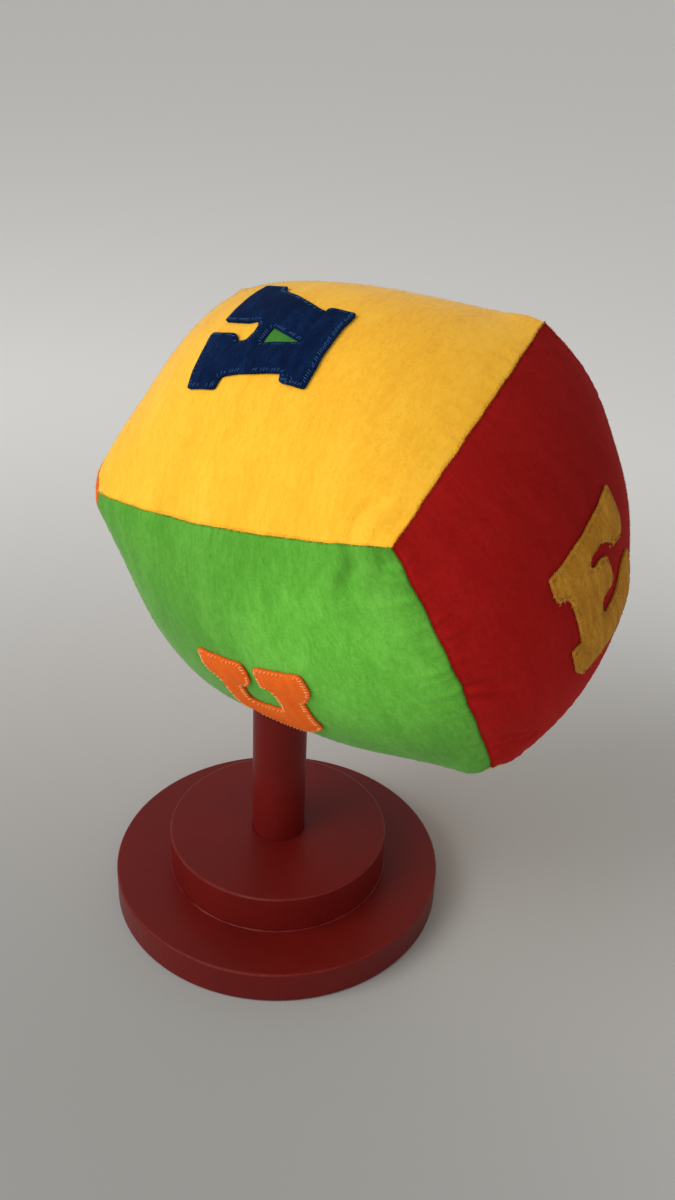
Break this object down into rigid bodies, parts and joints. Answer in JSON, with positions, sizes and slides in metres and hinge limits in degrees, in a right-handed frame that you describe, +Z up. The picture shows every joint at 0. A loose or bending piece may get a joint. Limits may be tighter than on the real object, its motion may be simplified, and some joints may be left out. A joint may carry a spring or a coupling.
{
  "type": "toy dice",
  "caption": "Stuffed plush letter cube leaning on a round post, on a stepped round wooden stand; it turns on the post and lifts off.",
  "frame": {"origin": "centre of the stand's underside, on the axis of the post", "axes": "+Z up along the post; +X towards the side the die leans to; the green panel with the U faces -Y"},
  "size_m": [0.2923, 0.2693, 0.3846],
  "materials": {
    "red_paint": "satin",
    "yellow_plush": "matte",
    "green_plush": "matte",
    "red_plush": "matte",
    "orange_plush": "matte",
    "navy_plush": "matte",
    "ochre_felt": "matte",
    "fibre_filling": "matte",
    "pocket_cotton": "matte",
    "zinc_steel": "satin"
  },
  "bodies": {
    "stand": {"base_disc": "red_paint", "step_disc": "red_paint", "post": "red_paint", "disc_screw_1": "zinc_steel", "disc_screw_2": "zinc_steel", "disc_screw_3": "zinc_steel"},
    "pocket": {"pocket_tube": "pocket_cotton", "pocket_end": "pocket_cotton"},
    "die": {"panel_yellow": "yellow_plush", "panel_under": "yellow_plush", "panel_navy": "navy_plush", "panel_green": "green_plush", "panel_orange": "orange_plush", "panel_red": "red_plush", "letter_a": "navy_plush", "letter_a_counter": "green_plush", "letter_u": "orange_plush", "letter_e": "ochre_felt", "letter_i": "green_plush", "letter_o": "yellow_plush", "opening_piping": "navy_plush", "filling": "fibre_filling"}
  },
  "joints": [
    {"name": "lift_off", "type": "slide", "parent": "stand", "child": "pocket", "axis": [0, 0, 1], "range_m": [0, 0.15]},
    {"name": "die_spin", "type": "hinge", "parent": "pocket", "child": "die", "pos_m": [0, 0, 0.2723], "axis": [0, 0, 1], "continuous": true}
  ]
}
